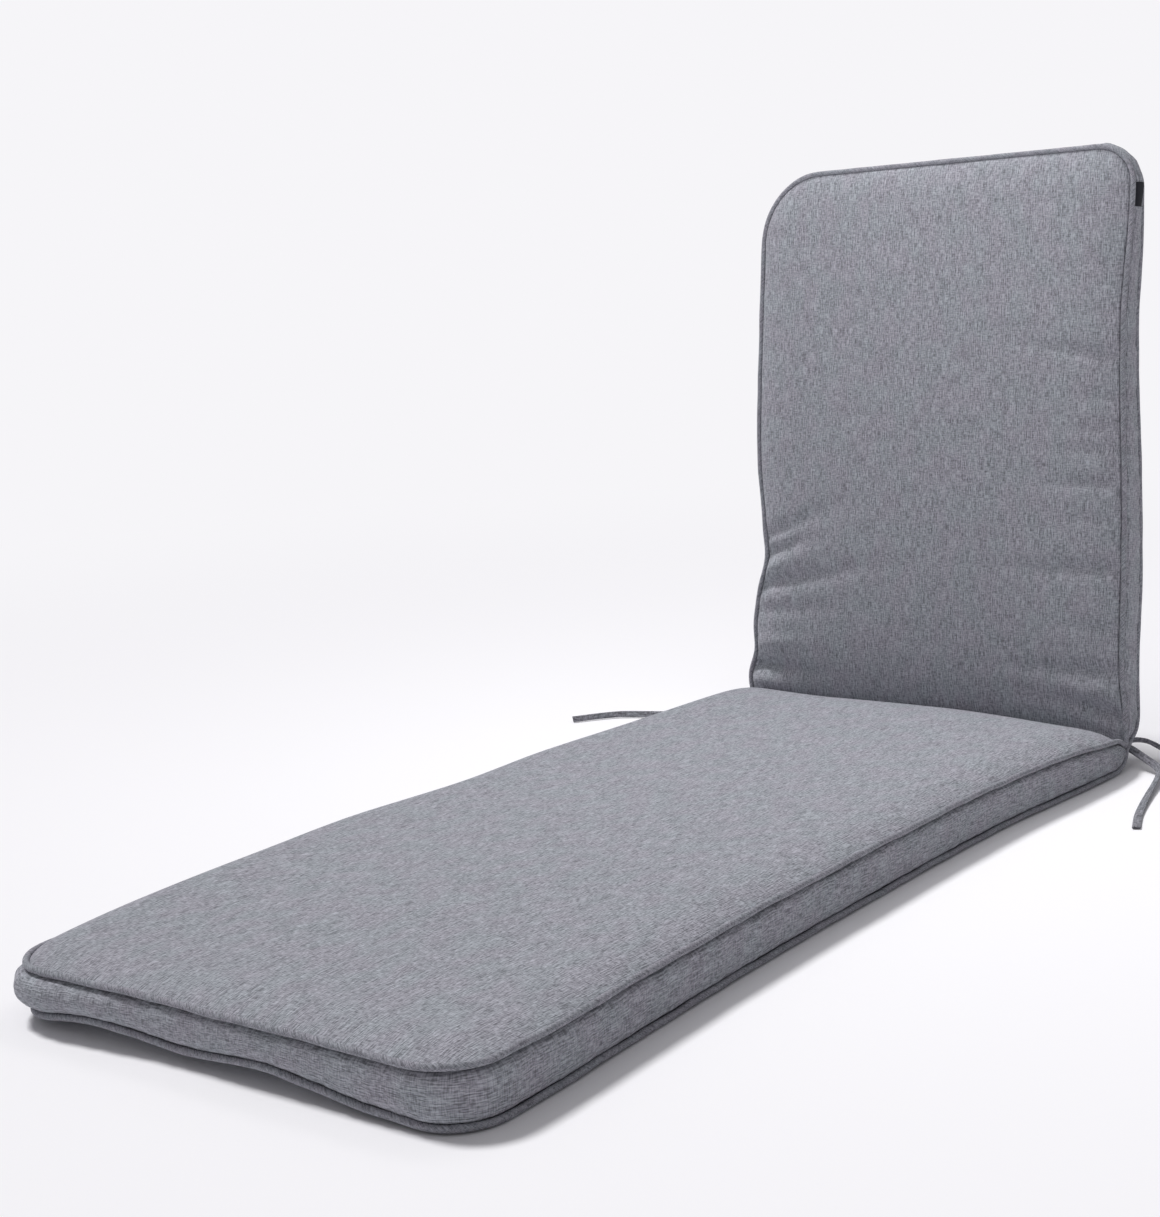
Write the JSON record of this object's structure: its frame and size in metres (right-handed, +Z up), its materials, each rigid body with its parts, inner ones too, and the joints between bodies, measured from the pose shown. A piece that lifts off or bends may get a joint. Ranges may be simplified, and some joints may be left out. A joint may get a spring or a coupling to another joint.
{
  "type": "sun lounger cushion",
  "caption": "Piped outdoor lounger cushion in two filled sections under one cover, seat flat and back standing, with tie tapes at the fold.",
  "frame": {"origin": "on the floor, under the middle of the cushion's bounding box without its ties", "axes": "+Z up; +Y from the foot end of the seat towards the standing back; +X towards the label's side"},
  "size_m": [0.9878, 1.5445, 0.7953],
  "materials": {
    "cover_cloth": "matte woven, heathered mid grey",
    "piping_cloth": "matte woven, heathered mid grey",
    "tie_tape": "matte woven, mid grey",
    "label_weave": "satin weave, near black"
  },
  "bodies": {
    "root": {"cushion": "cover_cloth", "piping_front": "piping_cloth", "piping_rear": "piping_cloth", "tie_right_front": "tie_tape", "tie_right_rear": "tie_tape", "tie_left_front": "tie_tape", "tie_left_rear": "tie_tape", "label": "label_weave"}
  },
  "joints": []
}
